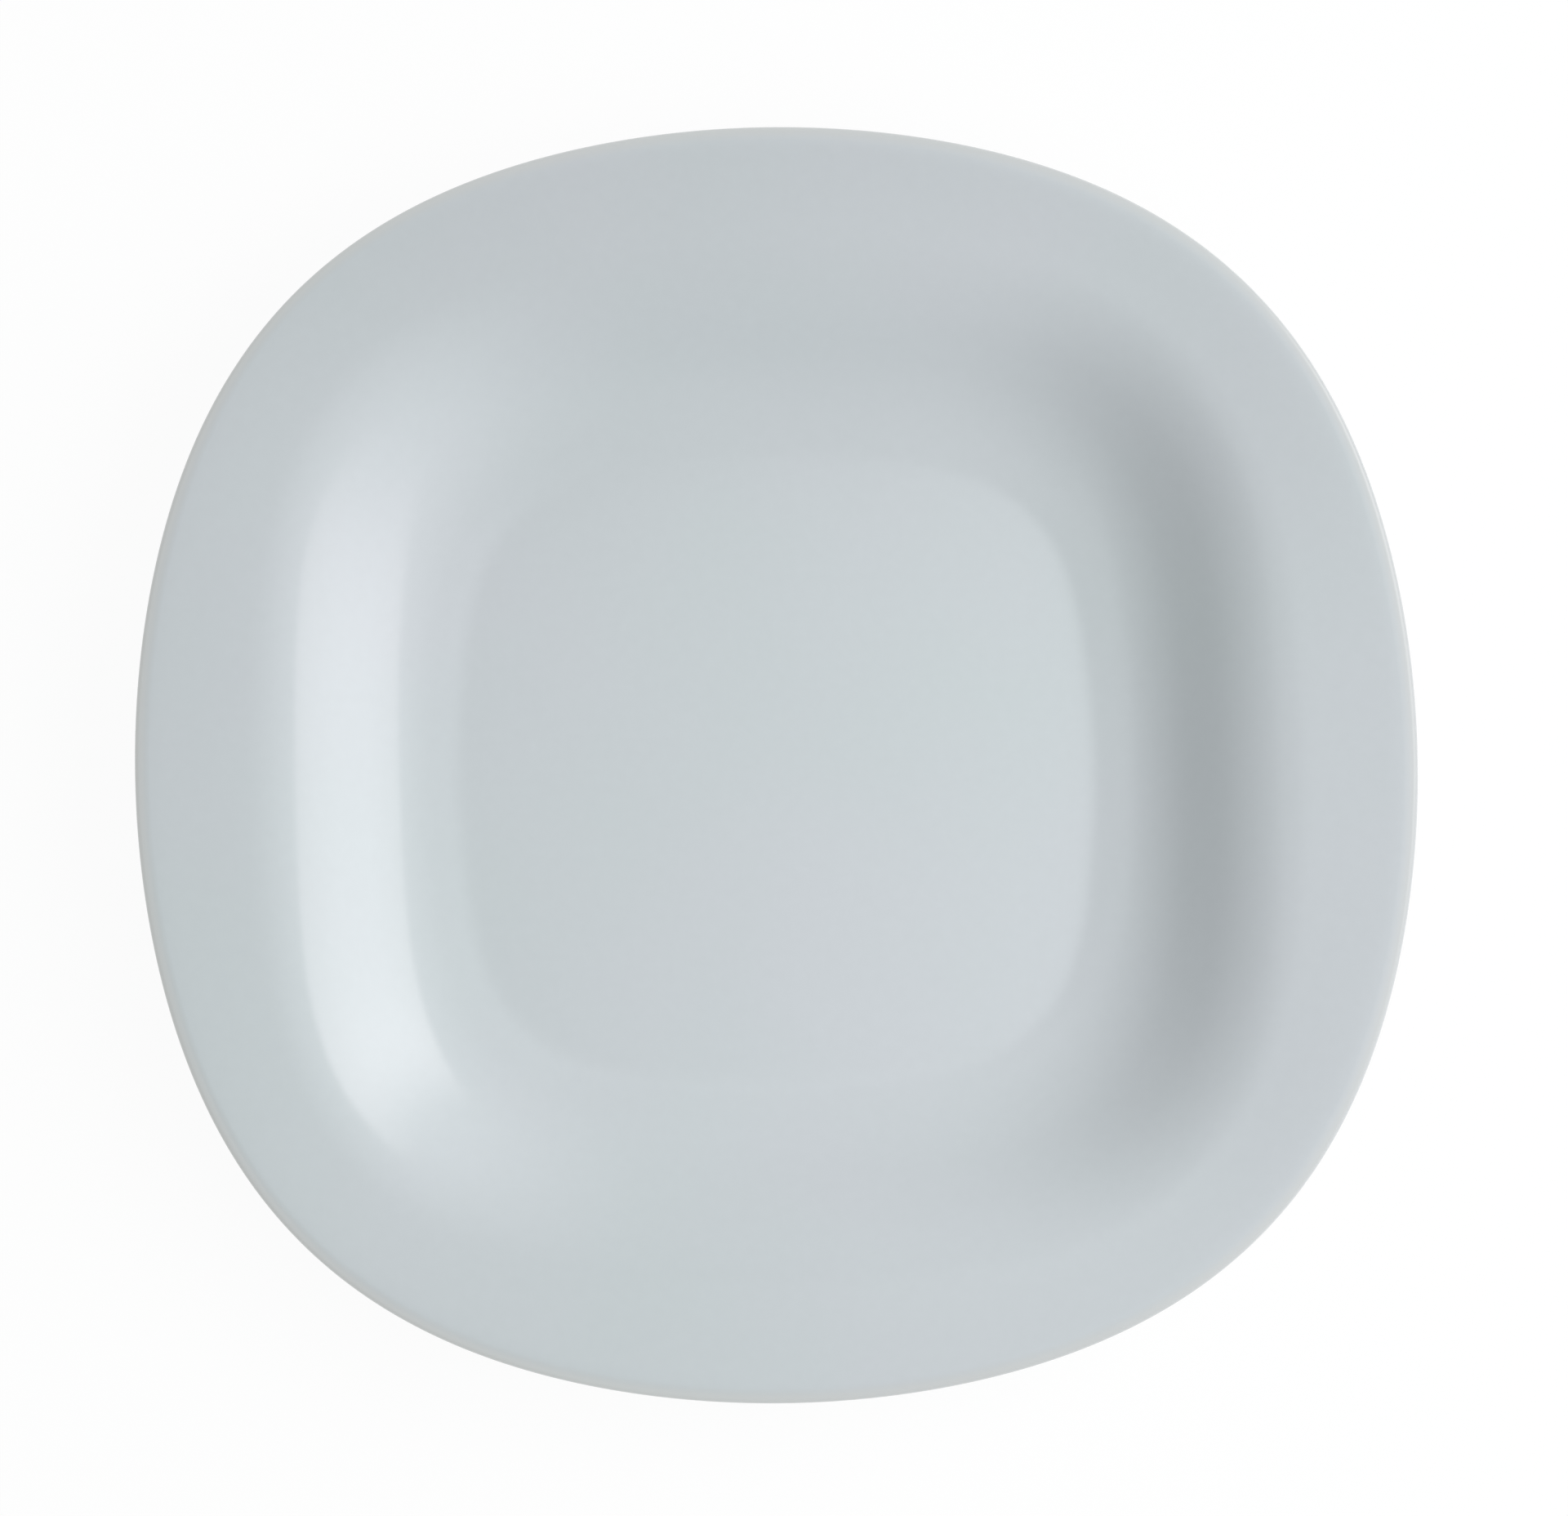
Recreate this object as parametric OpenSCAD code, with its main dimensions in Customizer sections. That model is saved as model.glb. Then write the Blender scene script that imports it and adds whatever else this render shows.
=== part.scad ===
// Square dinner plate, pressed in one piece from grey opal glass.
//
// The plate stands on its foot at z = 0, centred on the origin, with its sides square to X and Y.
// Its section is drawn once, from the foot out to the rim and back over the top to the flat floor.
// Each point of the section is then carried round the plate on its own rounded-square outline,
// which is squarest halfway up the wall.

/* [Plate] */
// Width from side to side, across the middle
plate_w = 260; // [220:1:320]
// How much farther out the rim's corners lie than the middles of its sides
rim_reach = 7; // [3:0.1:12]
// How far the rim's outline is drawn in between a side and a corner
rim_dip = 0.4; // [0:0.1:1]

/* [Glass] */
// Thickness of the glass, square to its surface
glass_t = 4; // [3:0.1:5]
// Radius of the rim's upper edge; below it the edge runs down to the underside in a longer curve
rim_edge_r = 1.2; // [0.8:0.1:1.4]

/* [Well] */
// Width of the flat floor from side to side
well_w = 127; // [100:1:160]
// How much farther out the floor's corners lie than the middles of its sides
well_reach = 9.3; // [4:0.1:14]
// How far the floor's outline is drawn in between a side and a corner
well_dip = 1.3; // [0:0.1:2]

/* [Border] */
// Slope of the narrow ledge round the floor, in degrees
ledge_angle = 10.5; // [6:0.5:15]
// Slope of the wall where it is steepest, in degrees
wall_angle = 32.5; // [20:0.5:40]
// How much farther still the wall's corners are pushed out, halfway between the floor and the rim
wall_swell = 4.9; // [0:0.1:8]
// Slope of the rim, in degrees
rim_angle = 7.5; // [2:0.5:9]
// Width over which the rim's top rolls over before its edge
rim_roll_w = 2.2; // [1:0.1:4]
// Slope down and out at the end of that roll, in degrees
rim_roll_angle = 14; // [5:1:20]

/* [Foot] */
// Height of the foot ring below the underside of the floor
foot_h = 1; // [0.8:0.1:2]
// Width of the foot ring, measured across it
foot_ring_w = 5; // [3:0.5:8]
// Radius of the foot ring's outer edge
foot_edge_r = 0.6; // [0.2:0.1:0.8]

/* [Hidden] */

glass_colour = [0.77, 0.80, 0.81];

// Straight sides that stand for each outline, and steps of each rounding
outline_sides = 80;
rim_edge_steps = 6;
foot_edge_steps = 3;
overrun = 1;

plate_half = plate_w / 2;
well_half = well_w / 2;
floor_z = foot_h + glass_t;

// Run of the upper surface from the floor's edge to where the rim's edge starts to round off
border_run = plate_half - well_half - rim_edge_r * (1 - sin(rim_roll_angle));

// Places across the border where the slope changes its rule, as shares of border_run.
// Between two of them the surface is one arc, or straight where the slope stays the same.
bend_end_share = 0.045;
ledge_end_share = 0.105;
wall_start_share = 0.31;
wall_end_share = 0.405;
crest_end_share = 0.675;
roll_start_share = 1 - rim_roll_w / border_run;

// Each zone of the border: where it ends, the slope there, and the steps that it is drawn in
ZONES = [
    [bend_end_share, ledge_angle, 2],
    [ledge_end_share, ledge_angle, 1],
    [wall_start_share, wall_angle, 5],
    [wall_end_share, wall_angle, 1],
    [crest_end_share, rim_angle, 6],
    [roll_start_share, rim_angle, 2],
    [1, -rim_roll_angle, 3],
];

function zone_start(i) = i == 0 ? [0, 0] : ZONES[i - 1];

// Rise of the surface over a run in which the slope goes from one angle to the other
function arc_rise(run, from_angle, to_angle) = run * tan((from_angle + to_angle) / 2);

// Height above the floor at which a zone begins
function zone_base(i) =
    i == 0 ? 0 : zone_base(i - 1) + arc_rise(
        (zone_start(i)[0] - zone_start(i - 1)[0]) * border_run, zone_start(i - 1)[1], zone_start(i)[1]);

// Point of the upper surface, part of the way through a zone: place, height and slope
function zone_point(i, part) =
    let (
        start = zone_start(i),
        slope = asin((1 - part) * sin(start[1]) + part * sin(ZONES[i][1])),
        run = (ZONES[i][0] - start[0]) * border_run * part)
    [well_half + start[0] * border_run + run, floor_z + zone_base(i) + arc_rise(run, start[1], slope), slope];

// The upper surface from the end of the floor's bend out to the rim's edge
border_top = concat(
    [zone_point(0, 1)],
    [for (i = [1:len(ZONES) - 1], k = [1:ZONES[i][2]]) zone_point(i, k / ZONES[i][2])]);

// The floor's bend, which has no match below because the foot ring covers it there
bend_top = [for (k = [0:ZONES[0][2] - 1]) zone_point(0, k / ZONES[0][2])];

// Point of the section at some depth under the upper surface
function under(p, depth) = [p[0] + depth * sin(p[2]), p[1] - depth * cos(p[2])];

// The foot ring's outer face drops from the point where the bend ends below
foot_half = under(border_top[0], glass_t)[0];

function turned(list) = [for (k = [len(list) - 1:-1:0]) list[k]];

rim_end = border_top[len(border_top) - 1];
rim_centre = under(rim_end, rim_edge_r);

// Point of the rim's edge: a quarter circle above, and below it a quarter ellipse of the same width
function rim_edge_point(a) =
    let (
        out = rim_edge_r * cos(a),
        up = (a < 0 ? glass_t - rim_edge_r : rim_edge_r) * sin(a),
        slope = rim_end[2])
    rim_centre + [out * cos(slope) - up * sin(slope), out * sin(slope) + up * cos(slope)];

section = concat(
    [for (k = [0:foot_edge_steps])
        let (a = 90 * k / foot_edge_steps)
        [foot_half - foot_edge_r * (1 - sin(a)), foot_edge_r * (1 - cos(a))]],
    [for (p = border_top) under(p, glass_t)],
    [for (k = [1:rim_edge_steps - 1]) rim_edge_point(180 * k / rim_edge_steps - 90)],
    [for (p = turned(border_top)) [p[0], p[1]]],
    [for (p = turned(bend_top)) [p[0], p[1]]]);

// How far across the border an outline lies whose side is at x, from the floor's edge to the rim's
function border_part(x) = max(0, (x - well_half) / (plate_half - well_half));

// A size of the outline whose side is at x, which grows from the centre to the floor's edge
// and then goes over to the rim's
function between(x, at_well, at_rim) =
    at_well * min(1, x / well_half) + (at_rim - at_well) * border_part(x);

// Rounded-square outline whose sides lie x from the middle
function outline(x) = [
    for (k = [0:outline_sides - 1])
        let (
            a = 360 * k / outline_sides,
            swell = wall_swell * pow(sin(180 * border_part(x)), 2),
            reach = between(x, well_reach, rim_reach) + swell,
            dip = between(x, well_dip, rim_dip))
        (x + reach * pow(sin(2 * a), 2) - dip * pow(sin(4 * a), 2)) * [cos(a), sin(a)]
];

// Solid of the section carried round the plate, closed by the foot's face and by the floor
module pressed_solid() {
    rings = len(section);
    n = outline_sides;
    corners = [for (p = section, q = outline(p[0])) [q[0], q[1], p[1]]];
    skin = [
        for (i = [0:rings - 2], k = [0:n - 1])
            let (a = i * n + k, b = i * n + (k + 1) % n, c = b + n, d = a + n)
            each [[a, d, c], [a, c, b]]
    ];
    foot_face = [for (k = [0:n - 1]) k];
    floor_face = [for (k = [n - 1:-1:0]) (rings - 1) * n + k];
    polyhedron(corners, concat([foot_face, floor_face], skin));
}

// Shallow recess under the floor, which leaves the foot ring standing
module foot_recess() {
    translate([0, 0, -overrun])
        linear_extrude(foot_h + overrun)
            polygon(outline(foot_half - foot_ring_w));
}

module plate() {
    color(glass_colour)
        difference() {
            pressed_solid();
            foot_recess();
        }
}

plate();
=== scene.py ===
"""Square dinner plate of grey opal glass: its finished surface, its studio and its camera.

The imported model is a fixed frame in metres, with the plate standing on its foot at z = 0. The plate is
drawn again at a finer grain by the rule that the solid follows: one section, carried round the plate on
rounded-square outlines that are squarest halfway up the wall.
"""
import logging
import math
from dataclasses import dataclass
from enum import Enum
from typing import Iterable, Mapping, Optional, Sequence, Union

import bpy
from mathutils import Matrix, Vector


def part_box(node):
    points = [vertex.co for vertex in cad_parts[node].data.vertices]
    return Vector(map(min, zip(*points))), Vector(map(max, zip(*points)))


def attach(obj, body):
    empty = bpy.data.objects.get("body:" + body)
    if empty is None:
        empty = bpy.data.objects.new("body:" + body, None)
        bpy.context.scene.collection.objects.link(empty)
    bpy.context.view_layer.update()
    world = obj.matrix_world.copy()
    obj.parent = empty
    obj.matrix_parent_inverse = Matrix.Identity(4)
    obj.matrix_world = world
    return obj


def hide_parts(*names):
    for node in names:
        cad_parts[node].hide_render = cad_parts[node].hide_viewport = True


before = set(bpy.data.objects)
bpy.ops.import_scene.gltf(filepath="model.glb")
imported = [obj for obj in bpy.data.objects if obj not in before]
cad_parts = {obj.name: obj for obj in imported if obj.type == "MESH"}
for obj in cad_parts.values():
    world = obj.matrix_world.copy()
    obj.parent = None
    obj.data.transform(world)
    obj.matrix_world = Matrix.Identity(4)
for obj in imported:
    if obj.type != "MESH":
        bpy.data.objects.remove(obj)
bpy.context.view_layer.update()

MM = 0.001
WHITE = (1.0, 1.0, 1.0, 1.0)

log = logging.getLogger("dinner_plate")

Number = Union[int, float]
Colour = tuple[float, float, float]
Point = tuple[float, float]


class Signal:
    """Output of a node, wrapped so that maths on it is written as a Python expression."""

    def __init__(self, sheet: "NodeSheet", socket: bpy.types.NodeSocket) -> None:
        """Keeps the node tree and the socket that the value comes from."""
        self.sheet = sheet
        self.socket = socket

    def maths(self, operation: str, *others: "Value") -> "Signal":
        """Adds a Math node.

        Args:
            operation: Name of the Math node's operation.
            others: The values that follow this one in the node's sockets.

        Returns:
            The node's result.
        """
        return self.sheet.maths(operation, self, *others)

    def __add__(self, other: "Value") -> "Signal":
        """This value plus another."""
        return self.maths("ADD", other)

    def __radd__(self, other: Number) -> "Signal":
        """A number plus this value."""
        return self.maths("ADD", other)

    def __sub__(self, other: "Value") -> "Signal":
        """This value less another."""
        return self.maths("SUBTRACT", other)

    def __rsub__(self, other: Number) -> "Signal":
        """A number less this value."""
        return self.sheet.maths("SUBTRACT", other, self)

    def __mul__(self, other: "Value") -> "Signal":
        """This value times another."""
        return self.maths("MULTIPLY", other)

    def __rmul__(self, other: Number) -> "Signal":
        """A number times this value."""
        return self.maths("MULTIPLY", other)

    def __truediv__(self, other: "Value") -> "Signal":
        """This value divided by another."""
        return self.maths("DIVIDE", other)


Value = Union[Number, Signal]
Input = Union[Value, Sequence[float], bpy.types.ID, str, bool]


class NodeSheet:
    """A node tree, with short ways to add to it."""

    def __init__(self, tree: bpy.types.NodeTree) -> None:
        """Wraps an empty node tree."""
        self.tree = tree

    def node(
        self,
        kind: str,
        settings: Optional[Mapping[str, object]] = None,
        inputs: Optional[Mapping[Union[str, int], Input]] = None,
    ) -> bpy.types.Node:
        """Adds any node.

        Args:
            kind: The node's type.
            settings: Its own settings, such as a Math node's operation, which are set first.
            inputs: Values or links of its sockets, by name or by number.

        Returns:
            The new node.
        """
        node = self.tree.nodes.new(kind)
        for name, value in (settings or {}).items():
            setattr(node, name, value)
        for key, value in (inputs or {}).items():
            self.feed(node.inputs[key], value)
        return node

    def feed(self, socket: bpy.types.NodeSocket, value: Input) -> None:
        """Links a signal to a socket, or sets the socket's own value.

        Args:
            socket: The socket.
            value: The signal or the value.
        """
        if isinstance(value, Signal):
            self.tree.links.new(value.socket, socket)
        else:
            socket.default_value = value

    def signal(self, node: bpy.types.Node, output: Union[str, int] = 0) -> Signal:
        """One output of a node, as a signal."""
        return Signal(self, node.outputs[output])

    def maths(self, operation: str, *values: Value) -> Signal:
        """Adds a Math node on values or signals and gives its result."""
        node = self.node("ShaderNodeMath", {"operation": operation}, dict(enumerate(values)))
        return self.signal(node)

    def blend(self, amount: Value, low: Input, high: Input) -> Signal:
        """Adds a colour Mix node.

        Args:
            amount: How much of the second colour shows.
            low: First colour.
            high: Second colour.

        Returns:
            The mixed colour.
        """
        node = self.node("ShaderNodeMix", {"data_type": "RGBA"}, {0: amount, 6: low, 7: high})
        return self.signal(node, 2)

    def dimmed(self, colour: Input, factor: Value) -> Signal:
        """A colour times a factor."""
        node = self.node("ShaderNodeVectorMath", {"operation": "SCALE"}, {0: colour, "Scale": factor})
        return self.signal(node)

    def rise(self, value: Value, start: Number, end: Number) -> Signal:
        """Goes smoothly from 0 to 1 as a value goes from start to end.

        Args:
            value: The value.
            start: Where the result leaves 0.
            end: Where it reaches 1.

        Returns:
            The result, which stays at 0 before the start and at 1 past the end.
        """
        node = self.node(
            "ShaderNodeMapRange",
            {"interpolation_type": "SMOOTHSTEP"},
            {"Value": value, "From Min": start, "From Max": end},
        )
        return self.signal(node)

    def noise(self, vector: Signal, pattern: "Pattern") -> Signal:
        """A noise pattern about 0.

        Args:
            vector: Where the pattern is read.
            pattern: Its scale, detail and strength.

        Returns:
            The pattern, between its strength below 0 and its strength above 0.
        """
        node = self.node(
            "ShaderNodeTexNoise",
            {},
            {"Vector": vector, "Scale": pattern.scale, "Detail": pattern.detail},
        )
        return (self.signal(node) - 0.5) * (2 * pattern.strength)


@dataclass(frozen=True)
class Pattern:
    """Noise that varies a surface.

    Attributes:
        scale: Number of its features in a metre.
        detail: How many finer layers it has.
        strength: How far it goes above and below 0.
    """

    scale: float
    detail: float
    strength: float


@dataclass(frozen=True)
class Outline:
    """Rounded-square outline of the plate at one place of its section.

    Attributes:
        side: Distance of the middle of each side from the centre.
        reach: How much farther out the corners lie.
        dip: How far the outline is drawn in between a side and a corner.
    """

    side: float
    reach: float
    dip: float


@dataclass(frozen=True)
class Zone:
    """Stretch of the border over which the slope changes steadily.

    Attributes:
        end_share: Where it ends, as a share of the border's run.
        slope: The slope there, in degrees.
        steps: Rows of faces that it is drawn in.
    """

    end_share: float
    slope: float
    steps: int


@dataclass
class Section:
    """Section of the plate, from the middle of its underside out to the rim and back to its floor.

    Attributes:
        half_width: Distance of the rim's sides from the centre.
        floor_half: Distance of the flat floor's sides from the centre.
        glass: Thickness of the glass.
        rim_edge_round: Radius of the rim's upper edge.
        rim_roll: Width over which the rim's top rolls over before its edge.
        rim_roll_slope: Slope down and out at the end of that roll, in degrees.
        rim_roll_steps: Rows of faces in that roll.
        foot_height: Height of the foot ring below the underside of the floor.
        foot_ring: Width of the foot ring, measured across it.
        foot_outer_round: Radius of the ring's outer edge.
        foot_inner_round: Radius of the ring's inner edge and of the corner above it.
        rim_slope: Slope of the rim, in degrees.
        inner_zones: The floor's bend, the ledge, the wall's foot, the wall and the turn to the rim.
        rim_steps: Rows of faces in the straight part of the rim.
        ease_share: How far to either side each change of slope is eased, as a share of the border.
        ease_samples: Slopes that are averaged on either side for that.
        slope_samples: Parts in which each row's rise is added up.
        rim_edge_steps: Rows of faces round the rim's edge.
        foot_round_steps: Rows of faces in each rounding of the foot.
        floor_rows: Rows of faces from the middle to the floor's edge, above and below.
    """

    half_width: float
    floor_half: float = 63.5 * MM
    glass: float = 4.0 * MM
    rim_edge_round: float = 1.2 * MM
    rim_roll: float = 2.2 * MM
    rim_roll_slope: float = 14.0
    rim_roll_steps: int = 8
    foot_height: float = 1.0 * MM
    foot_ring: float = 5.0 * MM
    foot_outer_round: float = 0.6 * MM
    foot_inner_round: float = 0.5 * MM
    rim_slope: float = 7.5
    inner_zones: tuple[Zone, ...] = (
        Zone(end_share=0.045, slope=10.5, steps=10),
        Zone(end_share=0.105, slope=10.5, steps=6),
        Zone(end_share=0.31, slope=32.5, steps=18),
        Zone(end_share=0.405, slope=32.5, steps=8),
        Zone(end_share=0.675, slope=7.5, steps=28),
    )
    rim_steps: int = 14
    ease_share: float = 0.018
    ease_samples: int = 12
    slope_samples: int = 6
    rim_edge_steps: int = 22
    foot_round_steps: int = 6
    floor_rows: int = 6

    @property
    def run(self) -> float:
        """Width of the border from the floor's edge to where the rim's edge starts to round off."""
        edge = self.rim_edge_round * (1 - math.sin(math.radians(self.rim_roll_slope)))
        return self.half_width - self.floor_half - edge

    @property
    def zones(self) -> tuple[Zone, ...]:
        """All zones of the border, the rim and the roll before its edge among them."""
        rim = Zone(1 - self.rim_roll / self.run, self.rim_slope, self.rim_steps)
        return (*self.inner_zones, rim, Zone(1.0, -self.rim_roll_slope, self.rim_roll_steps))

    def _sine(self, share: float) -> float:
        """Sine of the slope, before the changes of slope are eased.

        Args:
            share: Place on the border, as a share of its run.

        Returns:
            The sine there, which changes evenly from one end of a zone to the other.
        """
        start = Zone(0.0, 0.0, 0)
        for zone in self.zones:
            if share <= zone.end_share or zone.end_share == 1.0:
                part = max(share - start.end_share, 0.0) / (zone.end_share - start.end_share)
                low, high = (math.sin(math.radians(z.slope)) for z in (start, zone))
                return low + (high - low) * part
            start = zone
        return math.sin(math.radians(start.slope))

    def _eased_sine(self, share: float) -> float:
        """Sine of the slope, averaged over a narrow window so that the curvature has no jumps.

        Args:
            share: Place on the border, as a share of its run.

        Returns:
            The averaged sine there.
        """
        offsets = range(-self.ease_samples, self.ease_samples + 1)
        values = [self._sine(share + self.ease_share * k / self.ease_samples) for k in offsets]
        return sum(values) / len(values)

    def _rim_edge(self, rim_end: tuple[float, float, float]) -> list[Point]:
        """The rim's edge, from the underside to the top.

        Args:
            rim_end: Last point of the upper surface, with the sine of its slope.

        Returns:
            Points of a quarter ellipse below and a quarter circle of the same width above.
        """
        centre_x, centre_z = self._below(rim_end, self.rim_edge_round)
        sine = rim_end[2]
        cosine = math.sqrt(1 - sine * sine)
        points = []
        for k in range(self.rim_edge_steps + 1):
            angle = math.pi * (k / self.rim_edge_steps - 0.5)
            tall = self.glass - self.rim_edge_round if angle < 0 else self.rim_edge_round
            out, up = self.rim_edge_round * math.cos(angle), tall * math.sin(angle)
            points.append((centre_x + out * cosine - up * sine, centre_z + out * sine + up * cosine))
        return points

    def _border(self) -> list[tuple[float, float, float]]:
        """The upper surface from the floor to the rim's edge.

        Returns:
            Points as distance from the centre, height and sine of the slope.
        """
        shares = [-self.ease_share]
        for zone in self.zones:
            begin = shares[-1]
            step = (zone.end_share - begin) / zone.steps
            shares += [begin + step * k for k in range(1, zone.steps)] + [zone.end_share]
        height = self.foot_height + self.glass
        points = [(self.floor_half + shares[0] * self.run, height, 0.0)]
        for begin, end in zip(shares, shares[1:]):
            width = (end - begin) / self.slope_samples
            for k in range(self.slope_samples):
                sine = self._eased_sine(begin + (k + 0.5) * width)
                height += width * self.run * sine / math.sqrt(1 - sine * sine)
            points.append((self.floor_half + end * self.run, height, self._eased_sine(end)))
        return points

    @staticmethod
    def _below(point: tuple[float, float, float], depth: float) -> Point:
        """Point of the section that lies some depth under the upper surface."""
        x, z, sine = point
        return x + depth * sine, z - depth * math.sqrt(1 - sine * sine)

    @staticmethod
    def _turn(centre: Point, radius: float, start: float, end: float, steps: int) -> list[Point]:
        """Points along an arc, with both ends, for angles in degrees."""
        angles = [math.radians(start + (end - start) * k / steps) for k in range(steps + 1)]
        return [(centre[0] + radius * math.cos(a), centre[1] + radius * math.sin(a)) for a in angles]

    def _foot(self, outer: float, top: float) -> list[Point]:
        """The foot ring, from the recess under the floor to the underside of the wall.

        Args:
            outer: Distance of the ring's outer face from the centre.
            top: Height at which the outer face meets the wall.

        Returns:
            Points from the inside out.
        """
        inner = outer - self.foot_ring
        soft, firm = self.foot_inner_round, self.foot_outer_round
        steps = self.foot_round_steps
        return [
            *self._turn((inner - soft, self.foot_height - soft), soft, 90, 0, steps),
            *self._turn((inner + soft, soft), soft, 180, 270, steps),
            *self._turn((outer - firm, firm), firm, 270, 360, steps),
            (outer, top),
        ]

    def points(self) -> list[Point]:
        """Draws the whole section.

        Returns:
            Its points, from the middle of the underside out to the rim and back to the floor's middle.
        """
        border = self._border()
        bend_end = self.floor_half + self.zones[0].end_share * self.run
        covered = next(k for k, p in enumerate(border) if p[0] >= bend_end)
        under = [self._below(p, self.glass) for p in border[covered:]]
        foot = self._foot(*under[0])
        edge = self._rim_edge(border[-1])
        top = [(x, z) for x, z, _ in reversed(border)]
        inner_x, floor_x = foot[0][0], top[-1][0]
        rows = range(self.floor_rows)
        recess = [(inner_x * k / self.floor_rows, self.foot_height) for k in rows]
        floor = [(floor_x * (1 - (k + 1) / self.floor_rows), top[-1][1]) for k in rows]
        return [*recess, *foot, *under[1:-1], *edge, *top[1:], *floor]


class Mark(Enum):
    """Names of what the plate's points carry for its finish."""

    SIDE = "outline_side"


@dataclass(frozen=True)
class ScratchSet:
    """One direction of the fine marks that knives leave in the well.

    Attributes:
        turn: Their direction, in degrees from +X.
        along: How many follow each other in a metre.
        across: How many lie side by side in a metre.
        width: Their width, as a share of the space between two.
    """

    turn: float
    along: float
    across: float
    width: float


@dataclass(frozen=True)
class OpalGlass:
    """Finish of pressed grey opal glass.

    The glass is fire-polished above and at its edge, a little duller where the mould chilled it below,
    and ground flat where it stands. It is clouded and has faint flow lines from the pressing. Its colour
    grows a little darker from the well out to the rim. In a narrow band at the rim's edge the colour is
    dimmed and a painted glow takes its place, standing in for light that comes through the thin glass
    and evens out the edge's shading and warms it.

    Attributes:
        rosy: Tint of its rosier clouds.
        greenish: Tint of its greener clouds.
        gloss: Roughness of the fire-polished face.
        mould_gloss: Roughness of the underside.
        ground_foot: Roughness of the foot's ground face.
        outward_darkening: How much darker the colour grows from the well out to the rim's edge.
        painted_edge_glow: Colour of the painted glow at the rim's edge, which stands in for light that
            comes through the thin glass.
        painted_glow_share: Share of the edge's look that this painted glow makes, in place of its lit
            colour.
        painted_glow_band: How far inside the rim the painted glow begins, and where it is full.
        tint: Clouds that go from the greener to the rosier tint.
        clouds: Lighter and darker clouds in the glass.
        mottle: Fine lighter and darker spots in the glass.
        flow: Lines that run outwards, as the glass ran in the mould.
        smudges: Patches of the face that are a little duller.
        waves: Broad waviness of the face, in millimetres.
        peel: Fine waviness of the face, in millimetres.
        grinding: Relief of the foot's ground face, in millimetres.
        wear: Patches of the well where knives have left marks.
        wear_span: Values of that pattern between which the marks come in.
        scratches: The marks' directions.
        ridges: Pattern whose zero lines the marks follow, in a set's own stretched units.
        scratch_light: How much lighter a mark is than the glass.
        scratch_dull: How much rougher a mark is than the glass.
        scratch_depth: Depth of a mark, in millimetres.
        well_margin: How far past the floor's edge the marks fade out.
        darkening_margin: How far inside the floor's edge and past the rim that darkening begins and
            ends.
        turn_width: Rise of the face, above and below level with its edge, over which the two faces meet.
        foot_face: Height above which the foot isn't ground.
        refraction: The glass's index of refraction.
    """

    rosy: Colour = (0.588, 0.607, 0.635)
    greenish: Colour = (0.575, 0.612, 0.628)
    gloss: float = 0.122
    mould_gloss: float = 0.24
    ground_foot: float = 0.55
    outward_darkening: float = 0.068
    # Painted glow in the rim's edge band: its colour, its share of the edge's look, and where it begins
    # and is full.
    painted_edge_glow: Colour = (0.565, 0.575, 0.562)
    painted_glow_share: float = 0.6
    painted_glow_band: tuple[float, float] = (3.2 * MM, 0.6 * MM)
    tint: Pattern = Pattern(scale=11.0, detail=3.0, strength=1.6)
    clouds: Pattern = Pattern(scale=25.0, detail=3.0, strength=0.008)
    mottle: Pattern = Pattern(scale=420.0, detail=3.0, strength=0.016)
    flow: Pattern = Pattern(scale=9.0, detail=4.0, strength=0.003)
    smudges: Pattern = Pattern(scale=27.0, detail=4.0, strength=0.02)
    waves: Pattern = Pattern(scale=22.0, detail=1.0, strength=0.016)
    peel: Pattern = Pattern(scale=260.0, detail=2.0, strength=0.0012)
    grinding: Pattern = Pattern(scale=1800.0, detail=3.0, strength=0.01)
    wear: Pattern = Pattern(scale=38.0, detail=2.0, strength=1.0)
    wear_span: tuple[float, float] = (-0.05, 0.35)
    scratches: tuple[ScratchSet, ...] = (
        ScratchSet(turn=24.0, along=30.0, across=620.0, width=0.020),
        ScratchSet(turn=97.0, along=36.0, across=540.0, width=0.016),
        ScratchSet(turn=151.0, along=24.0, across=700.0, width=0.018),
    )
    ridges: Pattern = Pattern(scale=1.0, detail=1.0, strength=1.0)
    scratch_light: float = 0.006
    scratch_dull: float = 0.05
    scratch_depth: float = 0.0005
    well_margin: float = 14.0 * MM
    darkening_margin: float = 10.0 * MM
    turn_width: float = 0.1
    foot_face: float = 0.2 * MM
    refraction: float = 1.5

    def _tinted(self, sheet: NodeSheet, place: Signal) -> Signal:
        """Colour of the glass, from a greener to a rosier grey.

        Args:
            sheet: Node tree to add to.
            place: Where the pattern is read.

        Returns:
            The colour.
        """
        drift = sheet.noise(place, self.tint) + 0.5
        share = drift.maths("MAXIMUM", 0.0).maths("MINIMUM", 1.0)
        return sheet.blend(share, (*self.greenish, 1.0), (*self.rosy, 1.0))

    def _flow_lines(self, sheet: NodeSheet, place: Signal) -> Signal:
        """Faint lines that run outwards from the middle.

        Args:
            sheet: Node tree to add to.
            place: Where the pattern is read.

        Returns:
            How much lighter or darker the lines make the glass.
        """
        flat = sheet.node(
            "ShaderNodeVectorMath", {"operation": "MULTIPLY"}, {0: place, 1: (1.0, 1.0, 0.0)}
        )
        away = sheet.node("ShaderNodeVectorMath", {"operation": "NORMALIZE"}, {0: sheet.signal(flat)})
        return sheet.noise(sheet.signal(away), self.flow)

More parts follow.
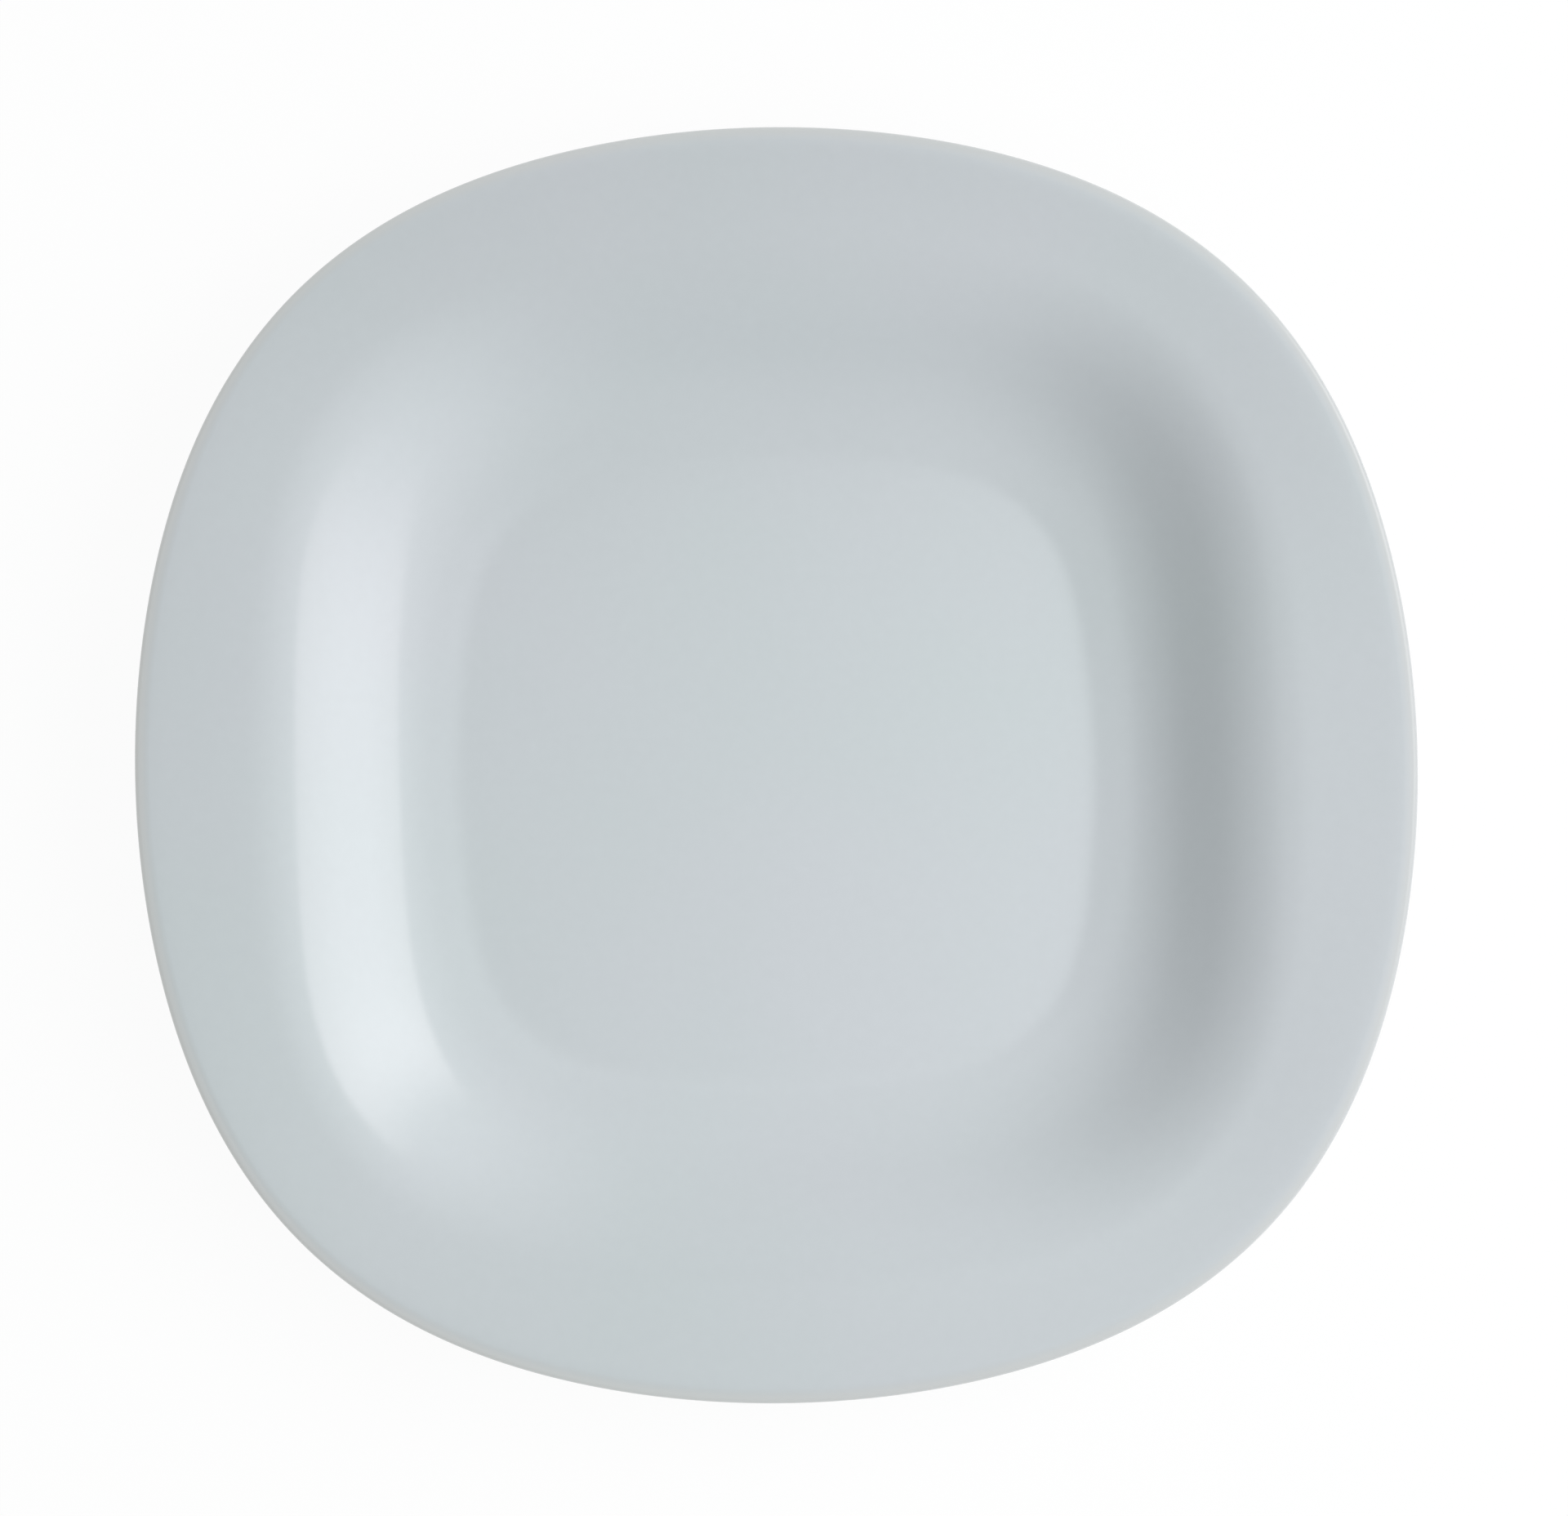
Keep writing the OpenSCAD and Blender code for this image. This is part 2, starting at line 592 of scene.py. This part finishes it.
    def _scratched(self, sheet: NodeSheet, place: Signal, in_well: Signal) -> Signal:
        """Fine knife marks in the well.

        Args:
            sheet: Node tree to add to.
            place: Where the patterns are read.
            in_well: 1 in the well and 0 outside it.

        Returns:
            1 on a mark and 0 elsewhere.
        """
        total: Optional[Signal] = None
        for marks in self.scratches:
            turned = sheet.node(
                "ShaderNodeMapping",
                {"vector_type": "TEXTURE"},
                {
                    "Vector": place,
                    "Rotation": (0.0, 0.0, math.radians(marks.turn)),
                    "Scale": (1 / marks.along, 1 / marks.across, 1.0),
                },
            )
            ridge = sheet.noise(sheet.signal(turned), self.ridges).maths("ABSOLUTE")
            line = 1 - sheet.rise(ridge, 0.0, marks.width)
            total = line if total is None else total.maths("MAXIMUM", line)
        return total * sheet.rise(sheet.noise(place, self.wear), *self.wear_span) * in_well

    def material(self, section: "Section") -> bpy.types.Material:
        """Makes the glass's material.

        Args:
            section: The plate's section, which says where the well, the rim and the foot are.

        Returns:
            The material.
        """
        material = bpy.data.materials.new("grey_opal_glass")
        material.use_nodes = True
        material.node_tree.nodes.clear()
        sheet = NodeSheet(material.node_tree)
        place = sheet.signal(sheet.node("ShaderNodeTexCoord"), "Object")
        height = sheet.signal(sheet.node("ShaderNodeSeparateXYZ", {}, {0: place}), "Z")
        facing = sheet.signal(sheet.node("ShaderNodeNewGeometry"), "Normal")
        upward = sheet.signal(sheet.node("ShaderNodeSeparateXYZ", {}, {0: facing}), "Z")
        side = sheet.signal(
            sheet.node("ShaderNodeAttribute", {"attribute_name": Mark.SIDE.value}), "Fac"
        )
        floor, rim = section.floor_half, section.half_width
        above = sheet.rise(upward, -self.turn_width, self.turn_width)
        in_well = above * (1 - sheet.rise(side, floor, floor + self.well_margin))
        # The colour grows a little darker from inside the floor's edge out past the rim.
        darkening_outwards = sheet.rise(side, floor - self.darkening_margin, rim + self.darkening_margin)
        # Painted glow: in a band at the rim's edge the base colour gives way to a glow that stands in
        # for light coming through the thin glass.
        begun, full = self.painted_glow_band
        painted_glow_at_edge = sheet.rise(side, rim - begun, rim - full) * self.painted_glow_share
        on_foot = 1 - sheet.rise(height, 0.0, self.foot_face)
        scratched = self._scratched(sheet, place, in_well)

        lightness = (
            1 - darkening_outwards * self.outward_darkening
            + sheet.noise(place, self.clouds)
            + sheet.noise(place, self.mottle)
            + self._flow_lines(sheet, place)
            + scratched * self.scratch_light
        )
        roughness = (
            above * (self.gloss - self.mould_gloss) + self.mould_gloss
            + sheet.noise(place, self.smudges)
            + scratched * self.scratch_dull
            + on_foot * (self.ground_foot - self.mould_gloss)
        )
        relief = (
            sheet.noise(place, self.waves)
            + sheet.noise(place, self.peel)
            + on_foot * sheet.noise(place, self.grinding)
            - scratched * self.scratch_depth
        )
        bump = sheet.node("ShaderNodeBump", {}, {"Height": relief, "Distance": MM, "Strength": 1.0})
        shader = sheet.node(
            "ShaderNodeBsdfPrincipled",
            {},
            {
                # Base colour dimmed in the rim's edge band, where the painted glow takes its place.
                "Base Color": sheet.dimmed(self._tinted(sheet, place), lightness * (1 - painted_glow_at_edge)),
                "Roughness": roughness,
                "Normal": sheet.signal(bump),
                "IOR": self.refraction,
                # Painted glow in the rim's edge band.
                "Emission Color": sheet.dimmed(self.painted_edge_glow, painted_glow_at_edge),
                "Emission Strength": 1.0,
            },
        )
        output = sheet.node("ShaderNodeOutputMaterial")
        sheet.feed(output.inputs["Surface"], sheet.signal(shader))
        return material


@dataclass
class PressedPlate:
    """The one piece of glass, drawn by carrying its section round its outlines.

    Attributes:
        section: Its section.
        well: Outline of its flat floor.
        rim: Outline of its rim.
        wall_swell: How much farther still the wall's corners are pushed out, halfway up.
        finish: Finish of its glass.
        columns: Faces round the plate.
        merge_distance: Distance within which points are joined, at the seam and in the middle.
    """

    section: Section
    well: Outline
    rim: Outline
    wall_swell: float
    finish: OpalGlass
    columns: int = 384
    merge_distance: float = 0.001 * MM

    def _rule(self) -> bpy.types.NodeTree:
        """Geometry Nodes that carry a section round the plate.

        Returns:
            The tree, whose inputs are the section as a line of points and the two outlines' sizes.
        """
        tree = bpy.data.node_groups.new("section_carried_round_outlines", "GeometryNodeTree")
        face = tree.interface
        face.new_socket(name="Section", in_out="INPUT", socket_type="NodeSocketGeometry")
        face.new_socket(name="Columns", in_out="INPUT", socket_type="NodeSocketInt")
        for name in self._sizes():
            face.new_socket(name=name, in_out="INPUT", socket_type="NodeSocketFloat")
        face.new_socket(name="Glass", in_out="INPUT", socket_type="NodeSocketMaterial")
        face.new_socket(name="Plate", in_out="OUTPUT", socket_type="NodeSocketGeometry")
        sheet = NodeSheet(tree)
        given = sheet.node("NodeGroupInput")

        def entry(name: str) -> Signal:
            """One of the tree's inputs."""
            return sheet.signal(given, name)

        rows = sheet.signal(
            sheet.node("GeometryNodeAttributeDomainSize", {"component": "MESH"}, {0: entry("Section")}),
            "Point Count",
        )
        around = entry("Columns")
        grid = sheet.node(
            "GeometryNodeMeshGrid", {}, {"Vertices X": rows, "Vertices Y": around + 1}
        )
        index = sheet.signal(sheet.node("GeometryNodeInputIndex"))
        row = (index / (around + 1)).maths("FLOOR")
        angle = (index - row * (around + 1)) / around * math.tau
        profile = sheet.node(
            "GeometryNodeSampleIndex",
            {"data_type": "FLOAT_VECTOR", "domain": "POINT"},
            {
                "Geometry": entry("Section"),
                "Value": sheet.signal(sheet.node("GeometryNodeInputPosition")),
                "Index": row,
            },
        )
        parts = sheet.node("ShaderNodeSeparateXYZ", {}, {0: sheet.signal(profile)})
        side, height = sheet.signal(parts, "X"), sheet.signal(parts, "Z")
        in_well = (side / entry("Well side")).maths("MINIMUM", 1.0)
        span = entry("Rim side") - entry("Well side")
        on_border = ((side - entry("Well side")) / span).maths("MAXIMUM", 0.0)

        def along(what: str) -> Signal:
            """A size that grows from the centre to the well and then goes over to the rim's."""
            at_well, at_rim = entry(f"Well {what}"), entry(f"Rim {what}")
            return in_well * at_well + on_border * (at_rim - at_well)

        to_corner = (angle * 2).maths("SINE").maths("POWER", 2.0)
        to_dip = (angle * 4).maths("SINE").maths("POWER", 2.0)
        halfway = (on_border * math.pi).maths("SINE").maths("POWER", 2.0)
        reach = along("reach") + halfway * entry("Wall swell")
        radius = side + reach * to_corner - along("dip") * to_dip
        spot = sheet.node(
            "ShaderNodeCombineXYZ",
            {},
            {0: radius * angle.maths("COSINE"), 1: radius * angle.maths("SINE"), 2: height},
        )
        marked = sheet.node(
            "GeometryNodeStoreNamedAttribute",
            {"data_type": "FLOAT", "domain": "POINT"},
            {"Geometry": sheet.signal(grid), "Name": Mark.SIDE.value, "Value": side},
        )
        placed = sheet.node(
            "GeometryNodeSetPosition",
            {},
            {"Geometry": sheet.signal(marked), "Position": sheet.signal(spot)},
        )
        merged = sheet.node(
            "GeometryNodeMergeByDistance",
            {},
            {"Geometry": sheet.signal(placed), "Distance": self.merge_distance},
        )
        smooth = sheet.node("GeometryNodeSetShadeSmooth", {}, {"Geometry": sheet.signal(merged)})
        real = sheet.node("GeometryNodeRealizeInstances", {}, {"Geometry": sheet.signal(smooth)})
        dressed = sheet.node(
            "GeometryNodeSetMaterial", {}, {"Geometry": sheet.signal(real), "Material": entry("Glass")}
        )
        sheet.node("NodeGroupOutput", {}, {"Plate": sheet.signal(dressed)})
        return tree

    def _sizes(self) -> dict[str, float]:
        """Sizes of the outlines.

        Returns:
            The sizes, under the names of the tree's inputs.
        """
        outlines = {"Well": self.well, "Rim": self.rim}
        sizes = {
            f"{place} {what}": getattr(outline, what)
            for place, outline in outlines.items()
            for what in ("side", "reach", "dip")
        }
        return {**sizes, "Wall swell": self.wall_swell}

    def build(self) -> bpy.types.Object:
        """Makes the plate as a plain mesh.

        Returns:
            The plate's object, at the origin, with its place in its mesh.
        """
        line = self.section.points()
        mesh = bpy.data.meshes.new("plate_section")
        mesh.from_pydata([(x, 0.0, z) for x, z in line], [(k, k + 1) for k in range(len(line) - 1)], [])
        plate = bpy.data.objects.new("pressed_plate", mesh)
        bpy.context.scene.collection.objects.link(plate)
        modifier = plate.modifiers.new("carried_round", "NODES")
        modifier.node_group = self._rule()
        values = {"Columns": self.columns, "Glass": self.finish.material(self.section), **self._sizes()}
        for item in modifier.node_group.interface.items_tree:
            if item.in_out == "INPUT" and item.name in values:
                modifier[item.identifier] = values[item.name]
        plate.update_tag()
        graph = bpy.context.evaluated_depsgraph_get()
        solid = bpy.data.meshes.new_from_object(plate.evaluated_get(graph))
        plate.modifiers.clear()
        plate.data = solid
        solid.name = "pressed_plate"
        bpy.data.meshes.remove(mesh)
        return plate


class Ray(Enum):
    """Kinds of ray that Light Path tells apart."""

    CAMERA = "Is Camera Ray"
    GLOSSY = "Is Glossy Ray"
    TRANSMISSION = "Is Transmission Ray"


def seen_rays(sheet: NodeSheet, kinds: Iterable[Ray]) -> Signal:
    """Tells whether a ray is of any of some kinds.

    Args:
        sheet: Node tree to add to.
        kinds: The kinds of ray.

    Returns:
        1 for those rays and 0 for all others.
    """
    path = sheet.node("ShaderNodeLightPath")
    total: Optional[Signal] = None
    for kind in kinds:
        ray = sheet.signal(path, kind.value)
        total = ray if total is None else total.maths("MAXIMUM", ray)
    return total


@dataclass(frozen=True)
class Softbox:
    """Rectangular studio lamp.

    Attributes:
        name: Its name.
        bearing: Direction from the plate, in degrees from +X towards +Y.
        height_angle: Height above the horizon, in degrees.
        distance: Distance from the plate.
        width: Size across, level with the floor.
        depth: Size up its face.
        brightness: Brightness of its face, where 1 is white.
        colour: Colour of its light.
        side_fades: Shares of its width over which it fades out at its right end and at its left end,
            as seen from the plate.
        end_fade: Share of its depth over which its top and its bottom fade out.
        lean: How much brighter than its middle its right end would be without the fade, as a share.
        in_gloss: Whether it is seen in the glass's gloss. A white panel isn't, against white.
    """

    name: str
    bearing: float
    height_angle: float
    distance: float
    width: float
    depth: float
    brightness: float
    colour: Colour = (0.945, 1.0, 1.0)
    side_fades: tuple[float, float] = (0.2, 0.2)
    end_fade: float = 0.2
    lean: float = 0.0
    in_gloss: bool = True

    def _fade(self, data: bpy.types.Light) -> None:
        """Makes the lamp's face fade out towards its edges, as cloth in front of a lamp does.

        Args:
            data: The lamp.
        """
        data.use_nodes = True
        data.node_tree.nodes.clear()
        sheet = NodeSheet(data.node_tree)
        face = sheet.node("ShaderNodeNewGeometry")
        across = sheet.node("ShaderNodeSeparateXYZ", {}, {0: sheet.signal(face, "Parametric")})
        strength: Value = 1 + self.lean * (1 - 2 * sheet.signal(across, "X"))
        for axis, fades in (("X", self.side_fades), ("Y", (self.end_fade, self.end_fade))):
            place = sheet.signal(across, axis)
            begun = sheet.rise(place, 0.0, fades[0])
            ended = sheet.rise(place, 1 - fades[1], 1.0)
            strength = begun * (1 - ended) * strength
        glow = sheet.node("ShaderNodeEmission", {}, {"Color": WHITE, "Strength": strength})
        output = sheet.node("ShaderNodeOutputLight")
        sheet.feed(output.inputs["Surface"], sheet.signal(glow))

    def build(self, target: Vector) -> bpy.types.Object:
        """Hangs the lamp so that it faces the plate.

        Args:
            target: Point that it faces.

        Returns:
            The lamp's object.
        """
        data = bpy.data.lights.new(self.name, "AREA")
        data.shape = "RECTANGLE"
        data.size, data.size_y = self.width, self.depth
        data.energy = math.pi * self.width * self.depth * self.brightness
        data.color = self.colour
        bearing, height = math.radians(self.bearing), math.radians(self.height_angle)
        level = math.cos(height)
        back = Vector((level * math.cos(bearing), level * math.sin(bearing), math.sin(height)))
        self._fade(data)
        lamp = bpy.data.objects.new(self.name, data)
        lamp.visible_camera = False
        lamp.visible_glossy = self.in_gloss
        facing = back.to_track_quat("Z", "Y").to_matrix().to_4x4()
        lamp.matrix_world = Matrix.Translation(target + back * self.distance) @ facing
        bpy.context.scene.collection.objects.link(lamp)
        return lamp


@dataclass(frozen=True)
class Viewpoint:
    """The photograph's camera, almost straight above the plate.

    Attributes:
        bearing: How far round from the front the camera stands, towards -X, in degrees.
        elevation: Its height above the horizon, in degrees.
        roll: Turn of the picture, in degrees.
        distance: Distance from the plate.
        pixels_per_metre: Scale of the picture at the plate.
        left_of_middle: How far left of the picture's middle the plate lies, in pixels.
        below_middle: How far below the picture's middle the plate lies, in pixels.
        image_width: Width of the picture, in pixels.
        sensor_width: Width of the camera's sensor, in millimetres.
    """

    bearing: float = 12.0
    elevation: float = 83.8
    roll: float = -10.85
    distance: float = 2.0
    pixels_per_metre: float = 6013.0
    left_of_middle: float = 9.6
    below_middle: float = 10.3
    image_width: int = 1920
    sensor_width: float = 36.0

    def build(self, target: Vector) -> bpy.types.Object:
        """Sets up the camera and makes it the scene's own.

        Args:
            target: Point of the plate that the distance is measured from.

        Returns:
            The camera's object.
        """
        data = bpy.data.cameras.new("photograph_view")
        data.sensor_width = self.sensor_width
        data.lens = self.sensor_width * self.pixels_per_metre * self.distance / self.image_width
        turn, rise, roll = (math.radians(a) for a in (self.bearing, self.elevation, self.roll))
        level_share = math.cos(rise)
        back = Vector((-level_share * math.sin(turn), -level_share * math.cos(turn), math.sin(rise)))
        level = Vector((math.cos(turn), -math.sin(turn), 0.0))
        raised = back.cross(level)
        right = level * math.cos(roll) - raised * math.sin(roll)
        up = level * math.sin(roll) + raised * math.cos(roll)
        aside = (right * self.left_of_middle + up * self.below_middle) / self.pixels_per_metre
        place = target + back * self.distance + aside
        axes = Matrix((right, up, back)).transposed().to_4x4()
        camera = bpy.data.objects.new("photograph_view", data)
        camera.matrix_world = Matrix.Translation(place) @ axes
        bpy.context.scene.collection.objects.link(camera)
        bpy.context.scene.camera = camera
        return camera


@dataclass
class Studio:
    """Pale floor, white surroundings and soft lamps.

    Attributes:
        softboxes: The lamps.
        surround_light: Brightness of the light that comes evenly from all round, where 1 is white.
        surround_colour: Colour of that light.
        floor_half: Distance of the floor's sides from the plate.
        floor_white: Colour of the floor.
        floor_glow_share: How much of the floor's look is plain white, which leaves a faint shadow.
        floor_depth: How far the floor lies below the foot, so that their faces don't coincide.
    """

    softboxes: tuple[Softbox, ...] = (
        Softbox(
            "key_softbox", bearing=11.2, height_angle=35.2, distance=1.315, width=1.8, depth=0.85,
            brightness=3.25, colour=(1.0, 0.93, 0.945), side_fades=(0.85, 0.36), end_fade=0.104,
            lean=-0.24,
        ),
        Softbox(
            "rear_panel", bearing=90.0, height_angle=12.8, distance=1.4, width=2.2, depth=0.62,
            brightness=2.14, in_gloss=False,
        ),
        Softbox(
            "front_panel", bearing=-17.1, height_angle=43.0, distance=0.9, width=1.4, depth=1.2,
            brightness=2.59, in_gloss=False,
        ),
        Softbox(
            "top_panel", bearing=90.0, height_angle=79.1, distance=1.6, width=0.74, depth=0.74,
            brightness=0.31, side_fades=(0.3, 0.3), end_fade=0.3,
        ),
        Softbox(
            "left_panel", bearing=182.0, height_angle=69.1, distance=1.6, width=0.81, depth=0.29,
            brightness=0.4, side_fades=(0.3, 0.3), end_fade=0.3,
        ),
    )
    surround_light: float = 0.26
    surround_colour: Colour = (0.945, 1.0, 1.0)
    floor_half: float = 3.0
    floor_white: Colour = (0.9, 0.9, 0.9)
    floor_glow_share: float = 0.95
    floor_depth: float = 0.02 * MM

    def _world(self) -> None:
        """Lights the plate evenly from all round, and shows white to the camera and in the gloss."""
        world = bpy.data.worlds.new("studio_surround")
        world.use_nodes = True
        world.node_tree.nodes.clear()
        sheet = NodeSheet(world.node_tree)
        seen = seen_rays(sheet, Ray)
        dim = tuple(c * self.surround_light for c in self.surround_colour)
        colour = sheet.blend(seen, (*dim, 1.0), WHITE)
        background = sheet.node("ShaderNodeBackground", {}, {"Color": colour, "Strength": 1.0})
        sheet.node("ShaderNodeOutputWorld", {}, {"Surface": sheet.signal(background)})
        bpy.context.scene.world = world

    def _floor(self) -> bpy.types.Object:
        """Lays a wide pale floor that keeps a faint shadow.

        Returns:
            The floor's object.
        """
        material = bpy.data.materials.new("pale_floor")
        material.use_nodes = True
        material.node_tree.nodes.clear()
        sheet = NodeSheet(material.node_tree)
        matt = sheet.node("ShaderNodeBsdfDiffuse", {}, {"Color": (*self.floor_white, 1.0)})
        glow = sheet.node("ShaderNodeEmission", {}, {"Color": WHITE, "Strength": 1.0})
        share = seen_rays(sheet, Ray) * self.floor_glow_share
        mixed = sheet.node(
            "ShaderNodeMixShader", {}, {0: share, 1: sheet.signal(matt), 2: sheet.signal(glow)}
        )
        sheet.node("ShaderNodeOutputMaterial", {}, {"Surface": sheet.signal(mixed)})
        half, low = self.floor_half, -self.floor_depth
        mesh = bpy.data.meshes.new("floor")
        corners = [(-half, -half, low), (half, -half, low), (half, half, low), (-half, half, low)]
        mesh.from_pydata(corners, [], [(0, 1, 2, 3)])
        mesh.materials.append(material)
        floor = bpy.data.objects.new("floor", mesh)
        bpy.context.scene.collection.objects.link(floor)
        return floor

    def build(self, target: Vector) -> None:
        """Makes the world, the floor and the lamps.

        Args:
            target: Point that the lamps face.
        """
        self._world()
        self._floor()
        for softbox in self.softboxes:
            softbox.build(target)
        bpy.context.scene.view_settings.view_transform = "Standard"


def main() -> None:
    """Builds the plate, its studio and its camera."""
    logging.basicConfig(level=logging.INFO, format="%(name)s: %(message)s")
    low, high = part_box("plate")
    half_width = (high.x - low.x) / 2
    section = Section(half_width)
    plate = PressedPlate(
        section,
        well=Outline(section.floor_half, reach=9.3 * MM, dip=1.3 * MM),
        rim=Outline(half_width, reach=7.0 * MM, dip=0.4 * MM),
        wall_swell=4.9 * MM,
        finish=OpalGlass(),
    ).build()
    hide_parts("plate")
    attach(plate, "root")
    log.info("plate: %d vertices, %d faces", len(plate.data.vertices), len(plate.data.polygons))
    middle = (low + high) / 2
    Viewpoint().build(Vector((0.0, 0.0, middle.z)))
    Studio().build(Vector((0.0, 0.0, high.z)))
    log.info("studio: floor, surround and lamps")


if __name__ == "__main__":
    main()
